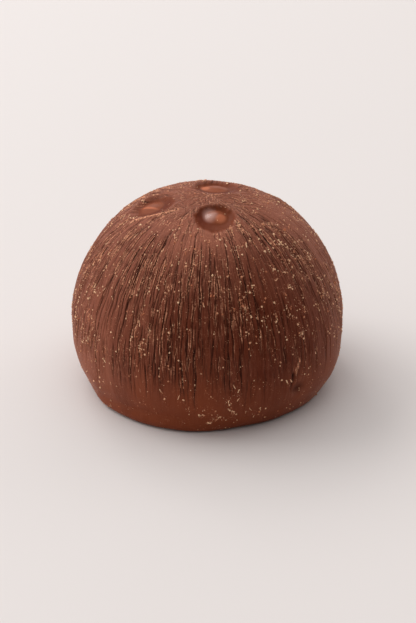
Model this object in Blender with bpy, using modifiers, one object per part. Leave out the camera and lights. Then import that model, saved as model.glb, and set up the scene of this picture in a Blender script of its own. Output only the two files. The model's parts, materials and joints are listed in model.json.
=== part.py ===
"""A chocolate dessert in the shape of a coconut: one solid dome that stands on its flat base.

The dome is a turned shape. Its outer side falls from the crown to the widest circle, tucks in under it
and ends in a small rounded foot. Three round eyes are sunk into the crown, each with a low domed floor.
Lengths are in metres, +Z is up, and the origin is the middle of the base.
"""

import bpy
import numpy as np
from mathutils import Vector

WIDEST_RADIUS = 0.0350
WIDEST_HEIGHT = 0.0167  # the widest circle, above the base
CROWN_RISE = 0.0335  # from the widest circle to the top
CROWN_FLATNESS = 2.51  # how flat the top of the dome is
CROWN_FULLNESS = 1.81  # how full its shoulders are
TUCK = 0.17  # how far the side draws in at the base, as a share of the widest radius
TUCK_LATENESS = 3.4  # how late that draw starts
FOOT_ROUNDING = 0.0020
TURN_STEPS = 64
CROWN_POINTS = 22
SIDE_POINTS = 11
FOOT_POINTS = 6

# Each eye: where its middle is, seen from above, and the radius of its rim.
EYES = {
    "front": (0.0018, -0.0111, 0.0053),
    "left": (-0.0133, -0.0009, 0.0060),
    "back": (0.0026, 0.0065, 0.0062),
}
EYE_RIM_DEPTH = 0.0014  # the lowest ring of an eye, below its rim
EYE_RING_SHARE = 0.74  # where that ring is, as a share of the rim's radius
EYE_FLOOR_RISE = 0.0006  # how far its floor swells up from that ring
EYE_WALL_POINTS = 6
EYE_FLOOR_POINTS = 6
EYE_STEPS = 24
TOOL_TOP = 0.0040  # how far the tool reaches above the crown
TOOL_FLARE = 1.22  # how much wider it is up there

CHOCOLATE = (0.110, 0.036, 0.018, 1.0)


def crown_height(radius):
    """Height above the base of the dome's upper side, this far from its axis."""
    share = 1.0 - (radius / WIDEST_RADIUS) ** CROWN_FLATNESS
    return WIDEST_HEIGHT + CROWN_RISE * max(share, 0.0) ** (1.0 / CROWN_FULLNESS)


def side_radius(height):
    """Radius of the dome below its widest circle."""
    below = (WIDEST_HEIGHT - height) / WIDEST_HEIGHT
    return WIDEST_RADIUS * (1.0 - TUCK * below**TUCK_LATENESS)


def side_slope(height):
    """How fast that radius grows with height."""
    below = (WIDEST_HEIGHT - height) / WIDEST_HEIGHT
    return WIDEST_RADIUS * TUCK * TUCK_LATENESS * below ** (TUCK_LATENESS - 1.0) / WIDEST_HEIGHT


def foot_start():
    """The turn at which the foot's rounding takes over from the side, so that the two meet smoothly."""
    turn = 0.0
    for _ in range(10):
        turn = np.arctan(side_slope(FOOT_ROUNDING * (1.0 - np.sin(turn))))
    return turn


def dome_outline():
    """(radius, height) from the crown down the outer side, round the foot and in to the middle of the base."""
    points = []
    for turn in np.linspace(np.pi / 2, 0.0, CROWN_POINTS):
        radius = WIDEST_RADIUS * np.cos(turn) ** (2.0 / CROWN_FLATNESS)
        points.append((radius if turn < np.pi / 2 else 0.0, crown_height(radius)))
    start = foot_start()
    side_end = FOOT_ROUNDING * (1.0 - np.sin(start))
    for height in np.linspace(WIDEST_HEIGHT, side_end, SIDE_POINTS)[1:]:
        points.append((side_radius(height), height))
    foot = side_radius(side_end) - FOOT_ROUNDING * np.cos(start)
    for turn in np.linspace(start, np.pi / 2, FOOT_POINTS)[1:]:
        points.append((foot + FOOT_ROUNDING * np.cos(turn), FOOT_ROUNDING * (1.0 - np.sin(turn))))
    points.append((0.0, 0.0))
    return points


def eye_outline(rim):
    """(radius, height) of the tool that sinks an eye: a straight top, a sloping wall and a hollowed face."""
    ring = EYE_RING_SHARE * rim
    points = [(0.0, TOOL_TOP), (TOOL_FLARE * rim, TOOL_TOP), (rim, 0.0)]
    for share in np.linspace(0.0, 1.0, EYE_WALL_POINTS + 1)[1:]:
        points.append((rim - (rim - ring) * share, -EYE_RIM_DEPTH * np.sin(share * np.pi / 2)))
    for share in np.linspace(1.0, 0.0, EYE_FLOOR_POINTS + 1)[1:]:
        points.append((ring * share, EYE_FLOOR_RISE * (1.0 - share**2) - EYE_RIM_DEPTH))
    return points


def turned(name, outline, steps, collection):
    """An object made by turning an outline about the vertical axis."""
    mesh = bpy.data.meshes.new(name)
    points = [(radius, 0.0, height) for radius, height in outline]
    mesh.from_pydata(points, [(i, i + 1) for i in range(len(points) - 1)], [])
    obj = bpy.data.objects.new(name, mesh)
    collection.objects.link(obj)
    screw = obj.modifiers.new("turn", "SCREW")
    screw.axis = "Z"
    screw.angle = 2.0 * np.pi
    screw.steps = steps
    screw.render_steps = steps
    screw.use_merge_vertices = True
    screw.merge_threshold = 0.00001
    screw.use_smooth_shade = True
    return obj


def surface_frame(x, y):
    """The point of the crown above (x, y), and the outward normal there."""
    step = 0.0001
    z = crown_height(np.hypot(x, y))
    slope_x = (crown_height(np.hypot(x + step, y)) - crown_height(np.hypot(x - step, y))) / (2 * step)
    slope_y = (crown_height(np.hypot(x, y + step)) - crown_height(np.hypot(x, y - step))) / (2 * step)
    return Vector((x, y, z)), Vector((-slope_x, -slope_y, 1.0)).normalized()


def chocolate():
    material = bpy.data.materials.new("chocolate")
    material.use_nodes = True
    shader = material.node_tree.nodes["Principled BSDF"]
    shader.inputs["Base Color"].default_value = CHOCOLATE
    shader.inputs["Roughness"].default_value = 0.5
    shader.inputs["Metallic"].default_value = 0.0
    return material


def main():
    for obj in list(bpy.data.objects):
        bpy.data.objects.remove(obj)
    scene = bpy.context.scene
    parts = bpy.data.collections.new("chocolate_coconut_dessert")
    tools = bpy.data.collections.new("cutters")
    scene.collection.children.link(parts)
    scene.collection.children.link(tools)

    body = turned("chocolate_body", dome_outline(), TURN_STEPS, parts)
    body.data.materials.append(chocolate())

    for name, (x, y, rim) in EYES.items():
        cutter = turned(f"eye_cutter_{name}", eye_outline(rim), EYE_STEPS, tools)
        place, normal = surface_frame(x, y)
        cutter.location = place
        cutter.rotation_euler = normal.to_track_quat("Z", "Y").to_euler()
        cutter.hide_render = True
        cutter.display_type = "WIRE"
        cut = body.modifiers.new(f"eye_{name}", "BOOLEAN")
        cut.operation = "DIFFERENCE"
        cut.solver = "EXACT"
        cut.object = cutter


main()
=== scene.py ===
# %% [markdown]
# # A chocolate dessert shaped like a coconut
# The imported solid is loaded first. It has the right size and stands on z = 0 with its origin in the
# middle of the base. The finished look is built round it, in the same metres.

import json
import math

import bpy
import numpy as np
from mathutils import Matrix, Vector

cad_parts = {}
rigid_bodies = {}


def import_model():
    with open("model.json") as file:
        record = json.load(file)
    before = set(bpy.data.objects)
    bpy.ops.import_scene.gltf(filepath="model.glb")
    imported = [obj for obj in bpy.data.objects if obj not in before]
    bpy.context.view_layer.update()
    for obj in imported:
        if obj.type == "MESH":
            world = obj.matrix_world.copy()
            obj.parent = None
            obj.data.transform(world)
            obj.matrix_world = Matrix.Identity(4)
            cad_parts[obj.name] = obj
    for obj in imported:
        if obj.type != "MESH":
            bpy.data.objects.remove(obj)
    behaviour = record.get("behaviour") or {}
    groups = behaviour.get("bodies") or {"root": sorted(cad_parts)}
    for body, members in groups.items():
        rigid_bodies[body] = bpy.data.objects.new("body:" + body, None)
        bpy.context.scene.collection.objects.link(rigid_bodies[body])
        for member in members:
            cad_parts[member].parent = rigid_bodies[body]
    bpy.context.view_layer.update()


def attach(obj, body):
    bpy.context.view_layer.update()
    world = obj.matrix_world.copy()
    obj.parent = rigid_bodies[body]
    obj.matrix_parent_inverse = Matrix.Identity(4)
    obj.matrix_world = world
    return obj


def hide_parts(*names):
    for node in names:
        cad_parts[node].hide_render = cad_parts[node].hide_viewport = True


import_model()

# %% [markdown]
# ## The shape of the dome
# The dome was cast in a mould, so it is a turned shape: one outline about an upright axis. The outline
# has a full, slightly flat crown, a widest circle low down and a side that tucks in to a small rounded
# foot. Two short formulas give it, and every later step asks them where the surface is. Lengths here are
# in millimetres, because grooves and crumbs are easier to think of in them; the meshes are scaled to
# metres when made.

# %% Outline of the dome
MM = 0.001
WIDEST_RADIUS = 35.0
WIDEST_HEIGHT = 16.7
CROWN_RISE = 33.5
CROWN_FLATNESS = 2.51
CROWN_FULLNESS = 1.81
TUCK = 0.17
TUCK_LATENESS = 3.4
FOOT_ROUNDING = 2.0


def crown_height(radius):
    """Height of the dome's upper side at this distance from its axis."""
    share = np.clip(1.0 - (radius / WIDEST_RADIUS) ** CROWN_FLATNESS, 0.0, 1.0)
    return WIDEST_HEIGHT + CROWN_RISE * share ** (1.0 / CROWN_FULLNESS)


def side_radius(height):
    """Radius of the dome below its widest circle."""
    below = np.clip((WIDEST_HEIGHT - height) / WIDEST_HEIGHT, 0.0, 1.0)
    return WIDEST_RADIUS * (1.0 - TUCK * below**TUCK_LATENESS)


def foot_start():
    """The turn at which the foot's rounding takes over from the side, so that the two meet smoothly."""
    turn = 0.0
    for _ in range(10):
        below = 1.0 - FOOT_ROUNDING * (1.0 - math.sin(turn)) / WIDEST_HEIGHT
        slope = WIDEST_RADIUS * TUCK * TUCK_LATENESS * below ** (TUCK_LATENESS - 1.0) / WIDEST_HEIGHT
        turn = math.atan(slope)
    return turn


CROWN_STEPS, SIDE_STEPS, FOOT_STEPS, BASE_STEPS = 3000, 800, 120, 400


def dense_outline():
    """Outline points, close together, from the crown to the middle of the base, with their arc length."""
    turn = np.linspace(np.pi / 2, 0.0, CROWN_STEPS)
    upper_r = WIDEST_RADIUS * np.cos(turn) ** (2.0 / CROWN_FLATNESS)
    upper_r[0] = 0.0
    start = foot_start()
    side_end = FOOT_ROUNDING * (1.0 - math.sin(start))
    lower_z = np.linspace(WIDEST_HEIGHT, side_end, SIDE_STEPS + 1)[1:]
    foot = side_radius(side_end) - FOOT_ROUNDING * math.cos(start)
    round_t = np.linspace(start, np.pi / 2, FOOT_STEPS + 1)[1:]
    radius = np.concatenate([upper_r, side_radius(lower_z), foot + FOOT_ROUNDING * np.cos(round_t),
                             np.linspace(foot, 0.0, BASE_STEPS + 1)[1:]])
    height = np.concatenate([crown_height(upper_r), lower_z, FOOT_ROUNDING * (1.0 - np.sin(round_t)),
                             np.zeros(BASE_STEPS)])
    arc = np.concatenate([[0.0], np.cumsum(np.hypot(np.diff(radius), np.diff(height)))])
    return radius, height, arc


OUT_R, OUT_Z, OUT_S = dense_outline()
WIDEST_ARC = float(OUT_S[CROWN_STEPS - 1])
FOOT_ARC = float(OUT_S[CROWN_STEPS + SIDE_STEPS - 1])
EDGE_ARC = float(OUT_S[CROWN_STEPS + SIDE_STEPS + FOOT_STEPS - 1])
print(f"arc from the crown: widest circle {WIDEST_ARC:.1f}, foot {FOOT_ARC:.1f}, edge {EDGE_ARC:.1f} mm")

# %% [markdown]
# ## A net of points over the dome
# Grooves a third of a millimetre wide need points closer together than that, but only round the dome, since
# the grooves run down it. So the dome is a net of rings about a millimetre apart, with fifteen hundred points
# in each ring round the side and fewer at the crown and under the foot. Where the number of points changes, a
# row of triangles joins the two rings.

# %% Rings and columns
# Each row: where a band of rings starts and ends along the outline, their step, and the points in each ring.
BANDS = [
    (0.25, 1.2, 0.32, 64), (1.2, 3.2, 0.33, 128), (3.2, 9.0, 0.34, 256), (9.0, 20.5, 0.36, 512),
    (20.5, FOOT_ARC - 6.0, 1.15, 1536), (FOOT_ARC - 6.0, FOOT_ARC - 0.2, 0.65, 512),
    (FOOT_ARC - 0.2, EDGE_ARC, 0.42, 512), (EDGE_ARC, EDGE_ARC + 1.6, 0.8, 256),
    (EDGE_ARC + 1.6, OUT_S[-1] - 3.0, 3.5, 64),
]
PLAN = [(float(arc), columns) for start, end, step, columns in BANDS
        for arc in np.arange(start, end - 1e-6, step)]
RING_START = np.concatenate([[1], 1 + np.cumsum([columns for _, columns in PLAN])])
VERTS = int(RING_START[-1]) + 1
ARC = np.zeros(VERTS)
ANGLE = np.zeros(VERTS)
for index, (arc, columns) in enumerate(PLAN):
    ring = slice(RING_START[index], RING_START[index + 1])
    ARC[ring] = arc
    ANGLE[ring] = np.arange(columns) * 2 * np.pi / columns
ARC[-1] = OUT_S[-1]
BASE_R = np.interp(ARC, OUT_S, OUT_R)
BASE_Z = np.interp(ARC, OUT_S, OUT_Z)


def net_faces():
    """Faces of the net, each one turned to look outwards."""
    count = PLAN[0][1]
    faces = [(0, 1 + i, 1 + (i + 1) % count) for i in range(count)]
    for index in range(len(PLAN) - 1):
        upper, lower = PLAN[index][1], PLAN[index + 1][1]
        top, low = int(RING_START[index]), int(RING_START[index + 1])
        if upper == lower:
            here = np.arange(upper)
            after = (here + 1) % upper
            faces += np.stack([top + here, low + here, low + after, top + after], 1).tolist()
            continue
        few, many = min(upper, lower), max(upper, lower)
        times = many // few
        half = times // 2
        for i in range(few):
            j = (i + 1) % few
            fine = [(i * times + k) % many for k in range(times + 1)]
            for k in range(times):
                near = i if k < half else j
                if lower > upper:
                    faces.append((top + near, low + fine[k], low + fine[k + 1]))
                else:
                    faces.append((top + fine[k], low + near, top + fine[k + 1]))
            if lower > upper:
                faces.append((top + i, low + fine[half], top + j))
            else:
                faces.append((top + fine[half], low + i, low + j))
    count, last = PLAN[-1][1], int(RING_START[-2])
    faces += [(VERTS - 1, last + (i + 1) % count, last + i) for i in range(count)]
    return faces


FACES = net_faces()
print(f"net: {VERTS} points, {sum(len(f) - 2 for f in FACES)} triangles")

# %% [markdown]
# ## Where the outward direction is
# Everything that stands out of the surface or sinks into it moves along the surface's own outward
# direction. On a turned shape it comes from the slope of the outline alone.

# %% Outward directions
OUT_SLOPE_R = np.gradient(OUT_R, OUT_S)
OUT_SLOPE_Z = np.gradient(OUT_Z, OUT_S)


def on_dome(arc, angle, lift=0.0):
    """Points on the dome, lifted outwards. Angle 0 looks to the front (-Y), a quarter turn to +X."""
    r, z = np.interp(arc, OUT_S, OUT_R), np.interp(arc, OUT_S, OUT_Z)
    nr, nz = -np.interp(arc, OUT_S, OUT_SLOPE_Z), np.interp(arc, OUT_S, OUT_SLOPE_R)
    size = np.hypot(nr, nz)
    r, z = r + lift * nr / size, z + lift * nz / size
    return np.stack([r * np.sin(angle), -r * np.cos(angle), z], -1)


SMOOTH = on_dome(ARC, ANGLE)
SMOOTH[0] = (0.0, 0.0, OUT_Z[0])
AROUND_X, AROUND_Y = WIDEST_RADIUS * np.sin(ANGLE), WIDEST_RADIUS * np.cos(ANGLE)
AROUND = np.stack([AROUND_X, AROUND_Y, 0 * ANGLE], 1)
print(f"smooth dome: {SMOOTH[:, 2].max():.1f} mm high")

# %% [markdown]
# Marks are placed by how far round they are, in degrees from the front, and by their arc, which is the
# way down the outline from the crown. These small functions say how far the net's points are from such a
# place.

# %% Measuring from a place
FAR = 99.0


def turn_from(angle, degrees):
    """How far round these angles are from that many degrees, in radians, the short way."""
    return (angle - math.radians(degrees) + np.pi) % (2 * np.pi) - np.pi


def patch(degrees, arc, wide, tall, lean=0.0):
    """(across, along) of every point from a patch's middle, in shares of the patch's half sizes."""
    across, along = turn_from(ANGLE, degrees) * BASE_R, ARC - arc
    return (across - lean * along) / wide, along / tall


def spot(degrees, arc, wide, tall):
    """1 in the middle of a patch, fading to nothing round it."""
    across, along = patch(degrees, arc, wide, tall)
    return np.exp(-(across**2 + along**2))


def distance_to_line(places):
    """Distance in mm of every point from a bent line through these (degrees, arc) places."""
    angles, arcs = np.array(places, float).T
    share = np.linspace(0, len(places) - 1, 24 * len(places))
    knots = np.arange(len(places))
    line = on_dome(np.interp(share, knots, arcs), np.radians(np.interp(share, knots, angles)))
    near = np.full(VERTS, FAR)
    for point in line:
        near = np.minimum(near, np.linalg.norm(SMOOTH - point, axis=1))
    return near


def soft_step(value):
    """0 below 0, 1 above 1, smooth between."""
    value = np.clip(value, 0.0, 1.0)
    return value * value * (3.0 - 2.0 * value)


print("places can be measured")

# %% [markdown]
# ## The cast surface is not quite even
# A thin chocolate coat sets with shallow swells, and it wanders a little at the foot where it ran down
# and was cut off. Slow waves, each with its own direction and phase from a fixed seed, add up to that
# unevenness.

# %% Slow waves
def waves(points, size, count, seed):
    """A smooth random field over points in mm, about -1 to 1, whose swells are about `size` mm across."""
    rng = np.random.default_rng(seed)
    total = np.zeros(len(points))
    for _ in range(count):
        direction = rng.normal(size=3)
        direction /= np.linalg.norm(direction)
        pitch = 2 * np.pi / (size * rng.uniform(0.7, 1.6))
        total += np.sin(points @ direction * pitch + rng.uniform(0, 2 * np.pi))
    return total / math.sqrt(count / 2.0)


swell = 0.16 * waves(SMOOTH, 24.0, 12, 1) + 0.045 * waves(SMOOTH, 7.0, 16, 2)
on_side = np.clip((EDGE_ARC + 0.5 - ARC) / 3.0, 0.0, 1.0)
height = swell * on_side
print(f"swells: {height.min():.2f} to {height.max():.2f} mm")

# %% [markdown]
# ## Brushed grooves
# A coconut's husk is imitated with a stiff wire brush drawn from the crown downwards, so the grooves fan
# out from the top and run down the side. Each bristle leaves a groove with a low burr of chocolate pushed
# up beside it. Each stroke here is a line over the net with a start, a length, a slight slant and wobble,
# a width and a depth. Deep strokes are few, and fine ones fill the space between.

# %% Strokes of the brush
groove, fine_mark, burr = np.zeros((3, VERTS))
RING_ARCS = np.array([arc for arc, _ in PLAN])
RING_RADII = np.maximum(np.interp(RING_ARCS, OUT_S, OUT_R), 1.0)
BRUSH_END = WIDEST_ARC + 7.0
FADE_IN, FADE_OUT = 0.10, 0.35
# A burr's place beside its groove and its width, in groove widths, and its height as a share of the depth.
BURR_PLACE, BURR_WIDTH, BURR_HEIGHT = 1.9, 0.75, 0.5


def brush(rng, start, length, angle, slant, wobble, width, depth, mark):
    """Adds one stroke: its groove goes into `mark` and its burrs into `burr`, in mm at the net's points."""
    first, last = np.searchsorted(RING_ARCS, [start, start + length])
    phase, pitch = rng.uniform(0, 2 * np.pi), rng.uniform(5.0, 11.0)
    burrs = rng.permutation([rng.uniform(0.5, 1.0), rng.uniform(0.0, 0.5)])
    jump = 0.0
    for index in range(first, min(last, len(PLAN))):
        along = (RING_ARCS[index] - start) / length
        jump = 0.6 * jump + rng.normal(0, 0.045)
        drift = slant * (along - 0.5) * length + jump
        drift += wobble * math.sin(RING_ARCS[index] / pitch * 2 * math.pi + phase)
        columns = PLAN[index][1]
        cell = 2 * math.pi * RING_RADII[index] / columns
        place = ((angle + drift / RING_RADII[index]) / (2 * math.pi) * columns) % columns
        # Drawn most of the way to the nearest column, so that a narrow groove stays sharp.
        place += (round(place) - place) * 0.7
        reach = int(math.ceil(3.2 * width / cell)) + 1
        near = np.arange(int(place) - reach, int(place) + reach + 2)
        across = (near - place) * cell
        fade = min(along / FADE_IN, 1.0) * min((1.0 - along) / FADE_OUT, 1.0)
        here = RING_START[index] + near % columns
        mark[here] = np.maximum(mark[here], depth * fade * np.exp(-((across / width) ** 2)))
        for side, strength in zip((-1, 1), burrs):
            ridge = (across - side * BURR_PLACE * width) / (BURR_WIDTH * width)
            pushed_up = BURR_HEIGHT * strength * depth * fade * np.exp(-(ridge**2))
            burr[here] = np.maximum(burr[here], pushed_up)


print(f"the brush works down to {BRUSH_END:.1f} mm from the crown")

# %% [markdown]
# A hand doesn't press evenly. Slow waves decide where the brush bit and where it slid, and they lean to a
# few chosen places at the front and to both sides of it.

# %% How hard the brush pressed
# Each row: degrees, arc, half width, half height, and how much more or less the brush pressed there.
BRUSHWORK = [(2.0, 46.0, 17.0, 12.0, 1.3), (-42.0, 26.0, 9.0, 9.0, 1.0), (60.0, 36.0, 9.0, 9.0, 0.8),
             (34.0, 24.0, 9.0, 8.0, -1.6), (37.0, 45.0, 8.0, 8.0, -1.3), (58.0, 58.0, 10.0, 8.0, -1.6),
             (-66.0, 59.0, 12.0, 8.0, -1.6)]


def pressed(angle, arc):
    """0 to 1, how hard the brush pressed at these places."""
    lean = np.zeros(len(arc))
    for degrees, middle, wide, tall, amount in BRUSHWORK:
        across = turn_from(angle, degrees) * np.interp(arc, OUT_S, OUT_R) / wide
        lean += amount * np.exp(-(across**2 + ((arc - middle) / tall) ** 2))
    return 0.5 + 0.5 * np.tanh(1.2 * waves(on_dome(arc, angle), 13.0, 10, 21) + lean)


def pressed_at(angle, arc):
    """The same at one place."""
    return float(pressed(np.array([angle]), np.array([arc]))[0])


press_field = pressed(ANGLE, ARC)
print(f"pressed hard on {np.mean(press_field > 0.5):.0%} of the points")

# %% [markdown]
# The bristles are evenly set in the brush, so the long grooves keep a fairly even distance from each
# other. They're laid in tiers down the dome, each tier a ring of evenly spaced strokes. Each stroke is
# shifted a little, and many are left out where the brush hardly pressed.

# %% Long grooves
rng = np.random.default_rng(11)
GROOVE_SPACING = 1.75
# Where each tier starts and how far down it reaches.
TIERS = [(11.5, 25.0), (14.5, 34.0), (19.5, 40.0), (25.0, 47.0), (31.0, 51.0), (38.0, 55.0), (45.0, 58.0)]
for tier, (tier_start, tier_end) in enumerate(TIERS):
    middle_radius = float(np.interp(0.5 * (tier_start + tier_end), OUT_S, OUT_R))
    count = int(2 * math.pi * middle_radius / GROOVE_SPACING)
    for number in range(count):
        angle = (number + rng.uniform(-0.38, 0.38)) * 2 * math.pi / count + tier
        start = tier_start + rng.uniform(-2.5, 5.0)
        press = pressed_at(angle, start + 4.0)
        if rng.uniform() > 0.20 + 0.80 * press:
            continue
        length = (tier_end - tier_start) * rng.uniform(0.45, 1.25)
        stop = BRUSH_END + rng.choice([-7.0, -3.0, 0.0, 3.0, 9.0], p=[0.3, 0.25, 0.2, 0.15, 0.10])
        length = max(min(length, stop + rng.uniform(-2.0, 2.0) - start), 3.0)
        slant, wobble, width = rng.normal(0, 0.035), rng.uniform(0.05, 0.30), rng.uniform(0.085, 0.13)
        depth = rng.choice([0.14, 0.20, 0.34], p=[0.45, 0.4, 0.15]) * (0.6 + 0.6 * press)
        brush(rng, start, length, angle, slant, wobble, width, depth, groove)
print(f"grooves: deepest {groove.max():.2f} mm, on {np.mean(groove > 0.05):.0%} of the points")

# %% Fine strokes between them
FINE_STROKES = 4400
for _ in range(FINE_STROKES):
    arc = rng.uniform(8.0, BRUSH_END - 6.0)
    turn = rng.uniform(0, 2 * np.pi)
    # Rings near the crown are shorter, so fewer strokes stay on them.
    if rng.uniform() > min(1.0, np.interp(arc, OUT_S, OUT_R) / 33.0):
        continue
    if rng.uniform() > 0.25 + 0.75 * pressed_at(turn, arc + 3.0):
        continue
    length, slant, wobble = rng.uniform(2.5, 11.0), rng.normal(0, 0.07), rng.uniform(0, 0.1)
    width, depth = rng.uniform(0.075, 0.11), rng.uniform(0.04, 0.15)
    brush(rng, arc, length, turn, slant, wobble, width, depth, fine_mark)
print(f"fine strokes: on {np.mean(fine_mark > 0.03):.0%} of the points")

# %% [markdown]
# Burrs are brittle, so they stand in broken bits. They are lower where the brush hardly pressed, and
# lower down the side.

# %% Broken burrs
burr *= np.clip(0.70 + 0.55 * waves(SMOOTH, 2.6, 16, 15), 0.15, 1.25)
burr *= (0.60 + 0.50 * press_field) * (1.0 - 0.45 * np.clip((ARC - WIDEST_ARC + 10.0) / 12.0, 0.0, 1.0))
print(f"burrs: up to {burr.max():.2f} mm")

# %% [markdown]
# ## Scratches across the crown
# On the flat crown the brush was turned this way and that between the eyes, so the marks are short and
# cross each other. They are straight lines on the plan of the crown, about half of them lying outwards
# from its middle, and each has a low burr along one side.

# %% Crown scratches
SCRATCHES = 520
crown_points = np.flatnonzero(ARC < 17.0)
plan_xy = SMOOTH[crown_points, :2]
scratch = np.zeros(VERTS)
rng = np.random.default_rng(12)
for _ in range(SCRATCHES):
    middle = rng.normal(0, 7.5, 2)
    if rng.uniform() < 0.5:
        heading = rng.uniform(0, np.pi)
    else:
        heading = math.atan2(middle[1], middle[0]) + rng.normal(0, 0.35)
    way = np.array([math.cos(heading), math.sin(heading)])
    half = rng.uniform(0.8, 3.2)
    offset = plan_xy - middle
    along, across = offset @ way, offset @ np.array([-way[1], way[0]])
    width = rng.uniform(0.10, 0.20)
    depth = rng.uniform(0.04, 0.18) * np.clip((half - np.abs(along)) / (0.4 * half), 0.0, 1.0)
    line = depth * np.exp(-((across / width) ** 2))
    scratch[crown_points] = np.maximum(scratch[crown_points], line)
    edge = 0.26 * depth * np.exp(-(((across - BURR_PLACE * width) / (0.8 * width)) ** 2))
    burr[crown_points] = np.maximum(burr[crown_points], edge)
scratch *= np.clip((16.5 - ARC) / 4.0, 0.0, 1.0)
print(f"crown scratches: on {np.mean(scratch[crown_points] > 0.03):.0%} of the crown")

# %% [markdown]
# ## The three eyes
# The eyes are sunk into the crown with a warm tool, so the chocolate inside melted smooth and glossy, and
# a soft lip stands round the rim. Each one is a round recess with a deepest ring near its wall and a
# floor that swells up in the middle.

# %% Where the eyes are
# The middle of each eye, to the right of the axis and behind it, and the radius of its rim.
EYES = {"front": (1.8, -11.1, 5.3), "left": (-13.3, -0.9, 6.0), "back": (2.6, 6.5, 6.2)}
EYE_DEPTH, LIP_HEIGHT = 1.15, 0.05
FLOOR_SIZE, FLOOR_RISE = 0.54, 0.42
# Places inside an eye are shares of its rim's radius, (to the right, to the back) of its middle.
FLOOR_PLACE = {"front": (0.08, 0.26), "left": (-0.18, 0.14), "back": (-0.10, 0.14)}
# The side of each eye whose wall is darkened as painted shade.
SHADED_SIDE = {"front": (-1.0, 0.1), "left": (0.8, -0.6), "back": (0.2, -1.0)}
# The painted lit patch of each melted floor: its place, its half sizes and its turn in degrees.
LIT_PATCH = {"front": (0.27, 0.14, 0.28, 0.38, -25.0), "left": (-0.30, 0.10, 0.60, 0.09, -40.0),
              "back": (-0.50, 0.16, 0.20, 0.34, 20.0)}
# How much painted light the rest of the floor gets.
FLOOR_LIGHT = {"front": 0.26, "left": 0.28, "back": 0.36}
# How soft the edge of the melted chocolate is.
SOFT_RIM = {"front": 0.20, "left": 0.50, "back": 0.35}
# Where the floor is glossiest and carries a painted highlight, written as the lit patches are, and how strong
# both are there.
GLOSS_HIGHLIGHT_PATCH = {"front": (-0.22, 0.40, 0.36, 0.58, 0.0), "left": (-0.20, 0.30, 0.5, 0.2, -40.0),
             "back": (0.10, 0.20, 0.4, 0.2, 0.0)}
GLOSS_HIGHLIGHT_STRENGTH = {"front": 1.0, "left": 0.10, "back": 0.12}
print("eyes:", ", ".join(EYES))

# %% Measuring inside an eye
def soft_patch(right, behind, place):
    """1 in the middle of a patch, fading to 0 a little outside its half sizes."""
    x, y, wide, deep, turn = place
    cos, sin = math.cos(math.radians(turn)), math.sin(math.radians(turn))
    along = (right - x) * cos + (behind - y) * sin
    across = (behind - y) * cos - (right - x) * sin
    return soft_step((1.25 - np.hypot(along / wide, across / deep)) / 0.8)


def eye_frame(x, y, rim):
    """(right, behind) of every point, in shares of the rim's radius, on the plane of this eye."""
    step = 0.05
    slope = [(crown_height(np.hypot(x + step, y)) - crown_height(np.hypot(x - step, y))) / (2 * step),
             (crown_height(np.hypot(x, y + step)) - crown_height(np.hypot(x, y - step))) / (2 * step)]
    up = np.array([-slope[0], -slope[1], 1.0])
    up /= np.linalg.norm(up)
    offset = SMOOTH - np.array([x, y, float(crown_height(np.hypot(x, y)))])
    flat = offset - np.outer(offset @ up, up)
    beyond = np.where(ARC < 30.0, 0.0, FAR)
    return flat[:, 0] / rim + beyond, flat[:, 1] / rim


print("eye frames ready")

# %% Sinking the eyes
eye, eye_drop, pale, wall_shade, gloss_highlight = np.zeros((5, VERTS))
rim_wave = waves(SMOOTH, 1.6, 16, 14)
for number, (which, (x, y, rim)) in enumerate(EYES.items()):
    right, behind = eye_frame(x, y, rim)
    bearing = np.arctan2(behind, right)
    uneven = 1.0 + 0.030 * np.sin(2 * bearing + number) + 0.025 * np.sin(3 * bearing + 2.1 * number)
    uneven += 0.015 * np.sin(7 * bearing + number) + 0.03 * rim_wave
    share = np.hypot(right, behind) / uneven
    floor_share = np.hypot(right - FLOOR_PLACE[which][0], behind - FLOOR_PLACE[which][1]) / FLOOR_SIZE
    from_rim = np.clip(1.05 - share, 0.0, 1.0)
    from_floor = np.clip(floor_share - 1.0, 0.0, 9.0) * FLOOR_SIZE
    eye_drop += EYE_DEPTH * soft_step(from_rim / np.maximum(from_rim + from_floor, 1e-6))
    rise = FLOOR_RISE * soft_step(1.15 - floor_share)
    eye_drop -= rise + LIP_HEIGHT * np.exp(-(((share - 1.12) / 0.09) ** 2))
    inside = soft_step((1.04 - share) / SOFT_RIM[which])
    eye = np.maximum(eye, inside)
    shade_way = np.array(SHADED_SIDE[which]) / np.linalg.norm(SHADED_SIDE[which])
    toward = (right * shade_way[0] + behind * shade_way[1]) / np.maximum(np.hypot(right, behind), 0.05)
    off_floor = soft_step((floor_share - 0.85) / 0.25)
    # Painted shade: the eye's wall is darkened in colour, most on that side.
    wall_shade = np.maximum(wall_shade, inside * off_floor * np.clip(0.15 + 0.95 * toward, 0.0, 1.0))
    # Painted light: the floor, and most of all one patch on it, is paler where light falls into the recess.
    floor_light = FLOOR_LIGHT[which] * soft_step((1.1 - floor_share) / 0.35)
    pale = np.maximum(pale, inside * np.maximum(soft_patch(right, behind, LIT_PATCH[which]), floor_light))
    # The floor's real gloss, and a painted highlight in its colour.
    gloss_highlight = np.maximum(gloss_highlight, inside * GLOSS_HIGHLIGHT_STRENGTH[which] * soft_patch(right, behind, GLOSS_HIGHLIGHT_PATCH[which]))
print(f"eyes: deepest {eye_drop.max():.2f} mm, lip {-eye_drop.min():.2f} mm")

# %% [markdown]
# ## The foot
# Chocolate that ran down the side gathered in a thin uneven lip just above the plate. To the front left
# it also spread a little further out.

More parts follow.
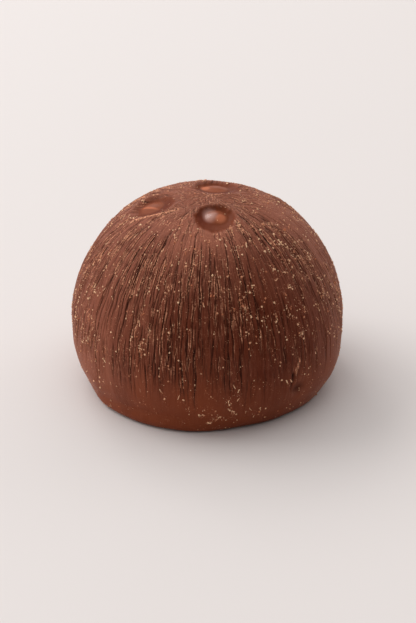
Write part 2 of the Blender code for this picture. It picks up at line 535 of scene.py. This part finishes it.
# %% Foot lip and spread
foot_lip = (0.12 + 0.08 * waves(AROUND, 17.0, 8, 5)) * np.exp(-(((ARC - FOOT_ARC + 0.2) / 0.9) ** 2))
across, _ = patch(-24.0, FOOT_ARC, 17.0, 3.2)
foot_spread = (0.8 + 2.0 * np.exp(-(across**2))) * soft_step((ARC - FOOT_ARC + 6.0) / 6.0)
foot_spread += 0.35 * spot(-52.0, FOOT_ARC - 1.0, 5.0, 1.6)
print(f"foot lip up to {foot_lip.max():.2f} mm, spread up to {foot_spread.max():.2f} mm")

# %% [markdown]
# ## Small damage
# Low on the right a knock left a small dark pit that runs down into a slit, and below it a shallow dent
# with a scraped edge. A curl of chocolate stands up above them. Low on the left something scraped a pale
# upright streak. A raised ridge runs past the left eye, and a few long cracks go down the front.

# %% Pit, dent and scrape
across, along = patch(37.5, WIDEST_ARC + 3.2, 0.42, 0.9)
pit = 0.8 * np.exp(-(across**2 + along**2) ** 1.5)
across, along = patch(36.7, WIDEST_ARC + 4.9, 0.20, 1.5, -0.25)
pit = np.maximum(pit, 0.7 * np.exp(-(across**2 + along**2) ** 1.5))
across, along = patch(40.6, WIDEST_ARC + 7.2, 1.9, 1.3)
dent = np.exp(-(across**2 + along**2))
dent_rim = np.exp(-(((np.hypot(across, along) - 1.35) / 0.35) ** 2)) * np.clip(0.4 + 0.6 * along, 0.0, 1.0)
across, along = patch(-45.5, WIDEST_ARC + 4.0, 0.75, 8.0, 0.08)
scrape = np.exp(-(across**4)) * np.clip(1.0 - along**2, 0.0, 1.0)
print(f"pit {pit.max():.2f} mm deep")

# %% Curl, ridge and cracks
CURL = [(40.6, WIDEST_ARC - 0.5), (39.2, WIDEST_ARC + 1.2), (38.3, WIDEST_ARC + 2.4)]
RIDGE = [(-47.9, 9.9), (-59.7, 13.9), (-64.9, 16.2), (-69.0, 18.1), (-73.6, 20.6)]
CRACKS = [
    [(-3.2, 34.0), (-3.6, 44.0)], [(-5.5, 47.0), (-4.5, 54.0), (-5.4, 60.0), (-5.0, 64.5)],
    [(-11.0, 50.0), (-9.5, 58.0), (-9.9, 61.0)], [(2.5, 44.0), (1.0, 56.0)], [(9.0, 40.0), (8.0, 52.0)],
    [(-26.0, 52.0), (-25.4, 58.0), (-26.0, 62.0)], [(13.4, 50.0), (13.9, 60.0)],
]
raised = 0.30 * np.exp(-((distance_to_line(CURL) / 0.20) ** 2))
raised += 0.24 * np.exp(-((distance_to_line(RIDGE) / 0.22) ** 2))
crack = np.zeros(VERTS)
for places in CRACKS:
    fade = np.clip((places[-1][1] - ARC) / 9.0, 0.0, 1.0)
    crack = np.maximum(crack, 0.40 * fade * np.exp(-((distance_to_line(places) / 0.13) ** 2)))
print(f"raised up to {raised.max():.2f} mm, {len(CRACKS)} cracks up to {crack.max():.2f} mm deep")

# %% [markdown]
# ## Putting the shape together
# All the marks add up to one height at each point, and the brush's own marks stop where an eye has
# melted. The foot's spread moves points sideways, and nothing goes below z = 0, so the base stays flat.

# %% Heights, then points
SPREAD_HEIGHT = 7.0
calm = 1.0 - eye
height += foot_lip * on_side
height -= calm * (groove + fine_mark + scratch)
height += calm * np.minimum(1.2 * burr, 0.20)
height -= eye_drop
height += raised - pit - 0.85 * dent + 0.16 * dent_rim - 0.10 * scrape - crack
BODY_POINTS = on_dome(ARC, ANGLE, height)
BODY_POINTS[0] = (0.0, 0.0, OUT_Z[0] + height[0])
BODY_POINTS[-1] = (0.0, 0.0, 0.0)
spread = np.where(BASE_Z < SPREAD_HEIGHT, foot_spread / np.maximum(BASE_R, 8.0), 0.0)
BODY_POINTS[:, :2] *= 1.0 + spread[:, None]
BODY_POINTS[:, 2] = np.maximum(BODY_POINTS[:, 2], 0.0)
print(f"heights from {height.min():.2f} to {height.max():.2f} mm off the smooth dome")


# %% The body's mesh
def add_piece(name, mesh):
    """An object at the origin with this mesh."""
    obj = bpy.data.objects.new(name, mesh)
    bpy.context.scene.collection.objects.link(obj)
    return obj


def keep_value(obj, name, values):
    """Stores one number per point, for the material to read."""
    values = np.asarray(values, np.float32)
    obj.data.attributes.new(name, "FLOAT", "POINT").data.foreach_set("value", values)


body_mesh = bpy.data.meshes.new("chocolate_coconut")
body_mesh.from_pydata((BODY_POINTS * MM).tolist(), [], FACES)
body_mesh.update()
body_mesh.polygons.foreach_set("use_smooth", np.ones(len(body_mesh.polygons), dtype=bool))
body = add_piece("chocolate_coconut", body_mesh)
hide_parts("chocolate_body")
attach(body, "root")
print(f"body: {len(body.data.polygons)} faces, top at {BODY_POINTS[:, 2].max():.2f} mm")

# %% [markdown]
# The material has to know where each kind of mark is, where painted sheen, light and shade go and which way
# the strokes run. The mesh keeps one number at each point for every one of these. For the strokes it keeps a
# place that runs round and down the dome.

# %% What the mesh keeps for the material
# Each row: degrees, arc, half width, half height, and how much painted sheen lies there, on the lit edges and
# crown.
SHEEN_SPOTS = [(-14.0, 20.0, 4.5, 5.5, 0.45), (14.0, 19.0, 5.0, 4.5, 0.45), (-54.0, 42.0, 19.0, 14.0, 0.50),
        (82.0, 44.0, 13.0, 22.0, 0.70), (-58.0, 60.0, 15.0, 9.0, 0.42), (46.0, 62.0, 14.0, 8.0, 0.14)]
painted_sheen = np.zeros(VERTS)
for degrees, arc, wide, tall, amount in SHEEN_SPOTS:
    painted_sheen += amount * spot(degrees, arc, wide, tall)
# Painted shade: where grooves, cracks and scratches are cut, the colour is darkened.
dark_line = np.maximum(groove, crack) + 0.7 * fine_mark + 0.6 * scratch
ragged_end = BRUSH_END + 4.0 + 3.0 * waves(AROUND, 6.0, 10, 6)
brushed = np.clip((ARC - 3.0) / 6.0, 0.5, 1.0) * np.clip((ragged_end + 1.0 - ARC) / 16.0, 0.0, 1.0)
KEPT = {
    "groove": np.clip(dark_line * calm / 0.17, 0.0, 1.0),
    "burr": np.clip((burr * calm + raised - 0.5 * groove - 0.021) / 0.034, 0.0, 1.0),
    "eye": eye,
    # Where painted light makes the eyes' floors paler.
    "pale": pale,
    "wall_shade": wall_shade,
    "gloss_highlight": gloss_highlight,
    "painted_sheen": painted_sheen,
    # Painted light: the coat is made paler towards the crown, where the light from above falls.
    "crown": np.clip((40.0 - ARC) / 28.0, 0.0, 1.0),
    "pit": np.clip(pit / 0.6, 0.0, 1.0),
    "dent": dent,
    "scrape": np.clip(scrape + dent_rim, 0.0, 1.0),
    "brushed": brushed * calm,
    "worked": brushed * calm * (0.20 + 0.80 * press_field),
}
for name, values in KEPT.items():
    keep_value(body, name, values)
grain = np.stack([AROUND_X, -AROUND_Y, ARC], 1).astype(np.float32)
body.data.attributes.new("grain", "FLOAT_VECTOR", "POINT").data.foreach_set("vector", grain.ravel())
print("kept at each point:", ", ".join(KEPT), "and grain")

# %% [markdown]
# ## Writing materials as sums
# A material is a chain of nodes, but it reads better as arithmetic. This small class wraps a node's
# output, and the usual signs add Math nodes, so 1 - mask or groove * 0.5 can be written as it is thought.

# %% Material helper
class Sock:
    """One value, vector or colour in a material's node tree."""

    def __init__(self, mat, out):
        self.mat, self.out = mat, out

    def _math(self, operation, *values, clamp=False):
        settings = {"operation": operation, "use_clamp": clamp}
        return self.mat.node("ShaderNodeMath", settings, dict(enumerate(values)))

    def __add__(self, other):
        return self._math("ADD", self, other)

    def __mul__(self, other):
        return self._math("MULTIPLY", self, other)

    def __sub__(self, other):
        return self._math("SUBTRACT", self, other)

    def __rsub__(self, other):
        return self._math("SUBTRACT", other, self)

    __radd__, __rmul__ = __add__, __mul__

    def between(self, low, high):
        """0 where the value is at `low`, 1 where it is at `high`, and no less or more beyond them."""
        return self._math("MULTIPLY", self - low, 1.0 / (high - low), clamp=True)


class Material:
    """A Principled material, and the nodes that feed it."""

    def __init__(self, name):
        self.material = bpy.data.materials.new(name)
        self.material.use_nodes = True
        self.tree = self.material.node_tree
        self.shader = self.tree.nodes["Principled BSDF"]

    def node(self, kind, settings=None, inputs=None, output=0):
        """Adds a node: its type, its settings, then the values or links of its sockets."""
        node = self.tree.nodes.new(kind)
        for key, value in (settings or {}).items():
            setattr(node, key, value)
        self.feed(node, inputs or {})
        return Sock(self, node.outputs[output])

    def feed(self, node, inputs):
        """Gives a node's sockets their values or links."""
        for key, value in inputs.items():
            socket = node.inputs[key]
            if isinstance(value, Sock):
                self.tree.links.new(value.out, socket)
            elif isinstance(value, tuple) and socket.type == "RGBA":
                socket.default_value = (*value, 1.0)
            else:
                socket.default_value = value

    def finish(self, inputs):
        """Feeds the Principled shader itself."""
        self.feed(self.shader, inputs)
        print(f"{self.material.name}: {len(self.tree.nodes)} nodes")
        return self.material

    def stored(self, name, output=2):
        """What the mesh keeps under this name at each point: output 2 is a number, output 1 a vector."""
        return self.node("ShaderNodeAttribute", {"attribute_name": name}, {}, output)

    def place(self):
        """The place on the piece itself, in metres."""
        return self.node("ShaderNodeTexCoord", {}, {}, 3)

    def mix(self, share, a, b):
        """Colour a where share is 0, colour b where it is 1."""
        settings = {"data_type": "RGBA", "blend_type": "MIX", "clamp_factor": True}
        return self.node("ShaderNodeMix", settings, {0: share, 6: a, 7: b}, 2)

    def scaled(self, vector, by):
        return self.node("ShaderNodeVectorMath", {"operation": "MULTIPLY"}, {0: vector, 1: by})

    def noise(self, where, scale, detail=2.0, roughness=0.5):
        inputs = {"Vector": where, "Scale": scale, "Detail": detail, "Roughness": roughness}
        return self.node("ShaderNodeTexNoise", {}, inputs)


print("material helper ready")

# %% [markdown]
# ## Milk chocolate
# Brushed milk chocolate is satin, a warm brown with a thin paler haze where the brush roughened it, and
# painted sheen on the crown and the lit edges. Below the brushwork the coat is plainer and lighter. Grooves,
# fine hair lines, the pit and the dent are coloured darker and redder inside as painted shade, and burrs and
# powder look pale. In the eyes the chocolate is bare and smooth, with painted shade on one side of the walls,
# painted light on the floor and a painted highlight where it is glossiest. The fine brush lines follow the
# place stored in the mesh that runs round and down the dome, so they are stretched along the strokes.

# %% Chocolate for the body
CHOCOLATE = (0.120, 0.0185, 0.0046)
UNBRUSHED = (0.225, 0.048, 0.0160)
# The colour below is the coat's pale haze, used also for painted sheen.
HAZE_AND_SHEEN = (0.355, 0.118, 0.069)
# The colour below is painted shade in grooves, hair lines, the dent and the pit.
GROOVE_SHADE = (0.040, 0.007, 0.002)
PALE = (0.96, 0.43, 0.245)
BARE = (0.165, 0.040, 0.016)
# The colour below is painted shade for the walls of the eyes.
WALL_SHADE_COLOUR = (0.130, 0.022, 0.006)
# The colour below is painted light on the eyes' floors.
LIT_FLOOR_COLOUR = (0.470, 0.140, 0.066)
# The colour below is a painted highlight on the glossiest eye floor.
HIGHLIGHT_COLOUR = (0.420, 0.190, 0.140)


def chocolate(name, dusting, shine):
    """The chocolate: its powder glows at the dome's edges by `dusting`, and it reflects by `shine`."""
    choc = Material(name)
    names = ("groove", "burr", "eye", "pit", "dent", "scrape", "brushed", "worked", "crumbly")
    groove_shade_m, burr_m, eye_m, pit_m, dent_m, scrape_m, brushed_m, worked_m, crumbly_m = map(choc.stored, names)
    names = ("pale", "wall_shade", "crown", "gloss_highlight", "painted_sheen")
    lit_floor_m, wall_shade_m, lit_crown_m, gloss_highlight_m, painted_sheen_m = map(choc.stored, names)
    coat_m = 1 - eye_m
    place = choc.place()
    cloud = choc.noise(place, 90.0, 3.0)
    grit = choc.noise(place, 2400.0, 2.0, 0.6)
    grain = choc.stored("grain", 1)
    streak = choc.noise(choc.scaled(grain, (1.6, 1.6, 0.14)), 1.0, 3.0, 0.6)
    hair = choc.noise(choc.scaled(grain, (4.2, 4.2, 0.28)), 1.0, 2.0, 0.7)
    thread = choc.noise(choc.scaled(grain, (5.0, 5.0, 0.55)), 1.0, 1.0, 0.6)

    # The coat: its ground, real haze and painted sheen, then painted shade in the hair lines and grooves,
    # then pale burrs, powder and threads.
    # Real haze in random streaks and clouds, plus painted sheen on the crown and in the sheen spots.
    haze_and_sheen_share = cloud.between(0.35, 0.7) * 0.18 + streak.between(0.45, 0.75) * 0.32 + lit_crown_m * 0.58
    ground = choc.mix(brushed_m, UNBRUSHED, CHOCOLATE)
    colour = choc.mix(haze_and_sheen_share * (0.25 + 0.75 * brushed_m) + painted_sheen_m, ground, HAZE_AND_SHEEN)
    colour = choc.mix(hair.between(0.46, 0.36) * (0.12 + 0.38 * worked_m) * coat_m, colour, GROOVE_SHADE)
    colour = choc.mix(groove_shade_m, colour, GROOVE_SHADE)
    broken = grit.between(0.36, 0.55)
    powder = grit.between(0.58, 0.66) * (crumbly_m * 0.45 + lit_crown_m * 0.10)
    threads = thread.between(0.63, 0.70) * grit.between(0.40, 0.55) * worked_m * 0.25
    colour = choc.mix((burr_m * broken * 0.95 + powder + threads) * coat_m, colour, PALE)

    # The small damage with painted shade in the dent and pit, then the melted eyes over everything.
    colour = choc.mix(scrape_m * streak.between(0.3, 0.6) * 0.6, colour, HAZE_AND_SHEEN)
    colour = choc.mix(dent_m * 0.75, colour, GROOVE_SHADE)
    colour = choc.mix(pit_m, colour, GROOVE_SHADE)
    # Painted shade darkens the eyes' walls.
    bare = choc.mix(wall_shade_m, choc.mix(cloud.between(0.3, 0.7) * 0.3, BARE, CHOCOLATE), WALL_SHADE_COLOUR)
    # Painted light on the eyes' floors, then a painted highlight where they are glossiest.
    melted = choc.mix(gloss_highlight_m * 0.7, choc.mix(lit_floor_m, bare, LIT_FLOOR_COLOUR), HIGHLIGHT_COLOUR)
    colour = choc.mix(eye_m, colour, melted)

    rough = 0.50 + 0.10 * cloud + 0.12 * hair * brushed_m - 0.16 * eye_m - 0.12 * burr_m
    bumps = (hair * 0.8 + streak * 0.4) * (0.15 + 0.85 * worked_m) + grit * 0.35 * coat_m + cloud * 0.3
    normal = choc.node("ShaderNodeBump", {}, {"Strength": 0.8, "Distance": 0.00028, "Height": bumps})
    return choc.finish({
        "Base Color": colour, "Roughness": rough, "Normal": normal, "IOR": 1.47, "Specular IOR Level": shine,
        "Coat Weight": gloss_highlight_m * 0.8, "Coat Roughness": 0.28, "Sheen Weight": dusting, "Sheen Roughness": 0.20,
        "Sheen Tint": (1.0, 0.60, 0.44)})


body.data.materials.append(chocolate("brushed_chocolate", 0.32, 0.12))
body.data.materials.append(chocolate("melted_chocolate", 0.0, 0.04))

# %% [markdown]
# The powder that the brush raised catches light at the dome's edges, but the melted eyes have none. So
# the faces inside the eyes wear the second material, which is the same chocolate without its dusting.

# %% Which faces are melted
melted_faces = np.array([max(eye[list(face)]) for face in FACES]) > 0.5
body.data.polygons.foreach_set("material_index", melted_faces.astype(np.int32))
print(f"melted faces: {int(melted_faces.sum())}")

# %% [markdown]
# ## Crumbs and shavings
# The brush also left its waste: golden crumbs under a millimetre across and thin shavings. There are many
# of both, so a node tree scatters them. Points fall where the mesh says crumbs lie, each point gets a
# small shape with its own size and turn, and noise makes every one different. Crumbs cling in patches.

# %% Where crumbs lie
rng = np.random.default_rng(31)
# Each row: degrees, arc and half width of a patch. The ones round the back are drawn by chance.
CRUMB_PATCHES = [
    (14.5, 38.5, 3.4), (16, 34, 5), (25.5, 14.8, 3.6), (34, 19.1, 4), (-34, 19.1, 4), (-64.5, 48.5, 6),
    (-53.2, 53.7, 5), (63.2, 28.4, 6), (65.2, 37.5, 5), (3.2, 66.5, 3.2), (10, 63.5, 3.4), (8, 18.5, 4),
    (22, 17, 4), (44, 24, 6), (62, 22, 5), (-22, 31, 4), (-70, 36, 6), (48, 30, 6), (40, 40, 5),
    (-30, 46, 4), (-8, 24, 4), (-78, 47, 6), (74, 46, 6), (58, 20, 5),
]
CRUMB_PATCHES += [(rng.uniform(95, 270), rng.uniform(15, 60), rng.uniform(5, 9)) for _ in range(14)]
patches = np.zeros(VERTS)
for degrees, arc, size in CRUMB_PATCHES:
    patches = np.maximum(patches, spot(degrees, arc, size, size * 1.3))
clumps = np.clip(0.5 + 0.7 * waves(SMOOTH, 2.4, 20, 32), 0.0, 1.6) ** 1.5
crumbly = (0.22 + 0.78 * patches) * clumps
crumbly *= np.clip((ARC - 3.0) / 6.0, 0.25, 1.0) * np.clip((EDGE_ARC - 0.4 - ARC) / 1.0, 0.0, 1.0)
crumbly *= 1.0 - 0.93 * eye
keep_value(body, "crumbly", crumbly)
print(f"crumbs lie thickest in {len(CRUMB_PATCHES)} patches")

# %% [markdown]
# The tree's inputs have names, so one tree makes both kinds. The shape is laid flat on the surface with
# its length down the slope, then turned and tipped a little by chance. Small ones are far commoner than
# large ones.

# %% The scattering tree
TREE_INPUTS = (("Per square metre", "Float", 1e5), ("Seed", "Int", 0), ("Shape size", "Vector", None),
               ("Smallest", "Float", 0.5), ("Largest", "Float", 1.5), ("Turn", "Float", 3.14),
               ("Tip", "Float", 0.4), ("Raggedness", "Float", 0.0001))
SMALL_SHAPES = {
    "crumb": ("GeometryNodeMeshIcoSphere", {"Radius": 0.5, "Subdivisions": 1}),
    "shaving": ("GeometryNodeMeshCube",
                {"Size": (1.0, 1.0, 1.0), "Vertices X": 2, "Vertices Y": 6, "Vertices Z": 2}),
}


def scatter_tree(name, shape, material):
    """A node tree that scatters one small shape over the surface it is given."""
    tree = bpy.data.node_groups.new(name, "GeometryNodeTree")
    tree.interface.new_socket("Surface", in_out="INPUT", socket_type="NodeSocketGeometry")
    inputs = {}
    for label, kind, value in TREE_INPUTS:
        inputs[label] = tree.interface.new_socket(label, in_out="INPUT", socket_type=f"NodeSocket{kind}")
        if value is not None:
            inputs[label].default_value = value
    tree.interface.new_socket("Result", in_out="OUTPUT", socket_type="NodeSocketGeometry")
    want = tree.nodes.new("NodeGroupInput").outputs

    def add(kind, sockets, **settings):
        """Adds a node with these settings, gives its sockets values or links, and returns its outputs."""
        node = tree.nodes.new(kind)
        for key, value in settings.items():
            setattr(node, key, value)
        for key, value in sockets.items():
            if isinstance(value, bpy.types.NodeSocket):
                tree.links.new(value, node.inputs[key])
            else:
                node.inputs[key].default_value = value
        return node.outputs

    def maths(operation, a, b):
        return add("ShaderNodeMath", {0: a, 1: b}, operation=operation)[0]

    def vectors(operation, sockets):
        return add("ShaderNodeVectorMath", sockets, operation=operation)[0]

    def chance(low, high, seed):
        """A random number for each point; sockets 2 and 3 are a number's lower and upper limits."""
        return add("FunctionNodeRandomValue", {2: low, 3: high, "Seed": seed}, data_type="FLOAT")[1]

    crumbly_here = add("GeometryNodeInputNamedAttribute", {"Name": "crumbly"}, data_type="FLOAT")[0]
    density = maths("MULTIPLY", want["Per square metre"], crumbly_here)
    chosen = {"Mesh": want["Surface"], "Seed": want["Seed"], "Density": density}
    points = add("GeometryNodeDistributePointsOnFaces", chosen, distribute_method="RANDOM")
    kind, sizes = SMALL_SHAPES[shape]
    small = add(kind, sizes)["Mesh"]
    sized = add("GeometryNodeTransform", {"Geometry": small, "Scale": want["Shape size"]})[0]

    spin = chance(maths("MULTIPLY", want["Turn"], -1.0), want["Turn"], 7)
    tip_low = maths("MULTIPLY", want["Tip"], -1.0)
    tip_x, tip_y = chance(tip_low, want["Tip"], 8), chance(tip_low, want["Tip"], 9)
    own_turn = add("ShaderNodeCombineXYZ", {"X": tip_x, "Y": tip_y, "Z": spin})[0]
    own_rotation = add("FunctionNodeEulerToRotation", {"Euler": own_turn})[0]
    outward = points["Normal"]
    level = vectors("CROSS_PRODUCT", {0: (0.0, 0.0, 1.0), 1: outward})
    upright = add("FunctionNodeAlignRotationToVector", {"Vector": outward}, axis="Z")[0]
    laid = add("FunctionNodeAlignRotationToVector", {"Rotation": upright, "Vector": level},
               axis="X", pivot_axis="Z")[0]
    turned = add("FunctionNodeRotateRotation", {"Rotation": laid, "Rotate By": own_rotation},
                 rotation_space="LOCAL")[0]
    rare = maths("POWER", chance(0.0, 1.0, 10), 2.2)
    limits = {"To Min": want["Smallest"], "To Max": want["Largest"]}
    scale = add("ShaderNodeMapRange", {"Value": rare, **limits})[0]
    each = {"Points": points["Points"], "Instance": sized, "Rotation": turned, "Scale": scale}
    copies = add("GeometryNodeInstanceOnPoints", each)[0]
    real = add("GeometryNodeRealizeInstances", {"Geometry": copies})[0]

    place = add("GeometryNodeInputPosition", {})[0]
    noise = add("ShaderNodeTexNoise", {"Vector": place, "Scale": 1700.0, "Detail": 1.0},
                noise_dimensions="3D")["Color"]
    centred = vectors("SUBTRACT", {0: noise, 1: (0.5, 0.5, 0.5)})
    ragged = vectors("SCALE", {0: centred, "Scale": want["Raggedness"]})
    moved = add("GeometryNodeSetPosition", {"Geometry": real, "Offset": ragged})[0]
    coated = add("GeometryNodeSetMaterial", {"Geometry": moved, "Material": material})[0]
    tree.links.new(coated, tree.nodes.new("NodeGroupOutput").inputs["Result"])
    return tree, inputs


def scattered(name, shape, material, values):
    """Runs the tree over the body and keeps its result as a plain mesh piece."""
    tree, sockets = scatter_tree(name + "_tree", shape, material)
    carrier = add_piece(name + "_carrier", body.data)
    modifier = carrier.modifiers.new("scatter", "NODES")
    modifier.node_group = tree
    for label, value in values.items():
        modifier[sockets[label].identifier] = value
    bpy.context.view_layer.update()
    evaluated = carrier.evaluated_get(bpy.context.evaluated_depsgraph_get())
    mesh = bpy.data.meshes.new_from_object(evaluated)
    bpy.data.objects.remove(carrier)
    mesh.name = name
    piece = add_piece(name, mesh)
    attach(piece, "root")
    print(f"{name}: {len(mesh.polygons)} faces")


print("scattering ready")

# %% [markdown]
# Crumbs are broken chocolate with cocoa butter showing, so they are paler than the coat, from caramel to
# straw, and dull.

# %% Crumb material, crumbs and shavings
CARAMEL, STRAW = (0.52, 0.165, 0.070), (1.0, 0.64, 0.38)
crumb = Material("chocolate_crumbs")
crumb_tone = crumb.noise(crumb.place(), 420.0, 2.0)
crumb_material = crumb.finish({
    "Base Color": crumb.mix(crumb_tone.between(0.38, 0.62), CARAMEL, STRAW),
    "Roughness": 0.45 + 0.2 * crumb_tone, "Specular IOR Level": 0.3})
scattered("crumbs", "crumb", crumb_material, {
    "Per square metre": 1250000.0, "Seed": 3, "Shape size": (0.00040, 0.00034, 0.00028), "Smallest": 0.35,
    "Largest": 1.75, "Turn": 3.14, "Tip": 0.6, "Raggedness": 0.00030})
scattered("shavings", "shaving", crumb_material, {
    "Per square metre": 170000.0, "Seed": 5, "Shape size": (0.00014, 0.00100, 0.00009), "Smallest": 0.4,
    "Largest": 1.6, "Turn": 0.7, "Tip": 0.25, "Raggedness": 0.00055})

# %% [markdown]
# ## Floor, light and camera
# The dessert stands on a plain pale floor. The main light is soft and comes from the upper left, a little
# behind, with weaker ones from the back and the right. The surround is brightest on the same side, up and
# behind to the left.

# %% Floor
FLOOR_COLOUR = (0.74, 0.695, 0.675)
bpy.ops.mesh.primitive_plane_add(size=6.0, location=(0.0, 1.5, 0.0))
floor = bpy.context.active_object
floor.name = "floor"
floor.data.materials.append(Material("pale_floor").finish({
    "Base Color": FLOOR_COLOUR, "Roughness": 0.55, "Specular IOR Level": 0.15}))

# %% Surround
world = bpy.data.worlds.new("surround")
bpy.context.scene.world = world
world.use_nodes = True
nodes, links = world.node_tree.nodes, world.node_tree.links
sky = nodes["Background"]
sky.inputs["Color"].default_value = (1.0, 0.98, 0.975, 1.0)
look = nodes.new("ShaderNodeTexCoord")
toward = nodes.new("ShaderNodeVectorMath")
toward.operation = "DOT_PRODUCT"
toward.inputs[1].default_value = Vector((-0.40, 0.45, 0.80)).normalized()
glow = nodes.new("ShaderNodeMapRange")
glow.interpolation_type = "SMOOTHSTEP"
for key, value in {"From Min": -0.35, "From Max": 1.0, "To Min": 0.05, "To Max": 1.10}.items():
    glow.inputs[key].default_value = value
links.new(look.outputs["Generated"], toward.inputs[0])
links.new(toward.outputs["Value"], glow.inputs["Value"])
links.new(glow.outputs["Result"], sky.inputs["Strength"])
print("surround lit")

# %% Lights
LIGHT_DISTANCE = 1.6
AIM_HEIGHT = 0.02


def soft_light(name, direction, size, power):
    """A square soft light in that direction from the dessert, turned to face it."""
    lamp = bpy.data.lights.new(name, "AREA")
    lamp.shape, lamp.size, lamp.energy = "SQUARE", size, power
    obj = add_piece(name, lamp)
    way = Vector(direction).normalized()
    obj.location = Vector((0.0, 0.0, AIM_HEIGHT)) + way * LIGHT_DISTANCE
    obj.rotation_euler = way.to_track_quat("Z", "Y").to_euler()


soft_light("window", (-0.70, 0.30, 0.64), 1.07, 10.4)
soft_light("back_window", (-0.33, 0.70, 0.63), 0.50, 3.1)
soft_light("side_window", (0.80, 0.50, 0.33), 0.89, 2.9)
print("lights placed")

# %% Camera
CAMERA_ELEVATION = math.radians(27.0)
CAMERA_DISTANCE = 0.450
camera = add_piece("camera", bpy.data.cameras.new("camera"))
camera.data.lens = 100.0
camera.data.sensor_width = 36.0
camera.data.clip_start = 0.01
back = Vector((0.0, -math.cos(CAMERA_ELEVATION), math.sin(CAMERA_ELEVATION)))
above = Vector((0.0, math.sin(CAMERA_ELEVATION), math.cos(CAMERA_ELEVATION)))
# It looks at the middle of the widest circle, moved by less than a millimetre to set the dessert in its view.
aim = Vector((0.00013, 0.0, WIDEST_HEIGHT * MM)) + above * 0.00077
camera.location = aim + back * CAMERA_DISTANCE
camera.rotation_euler = back.to_track_quat("Z", "Y").to_euler()
bpy.context.scene.camera = camera
bpy.context.scene.view_settings.view_transform = "Standard"
print("camera at", [round(v, 3) for v in camera.location])
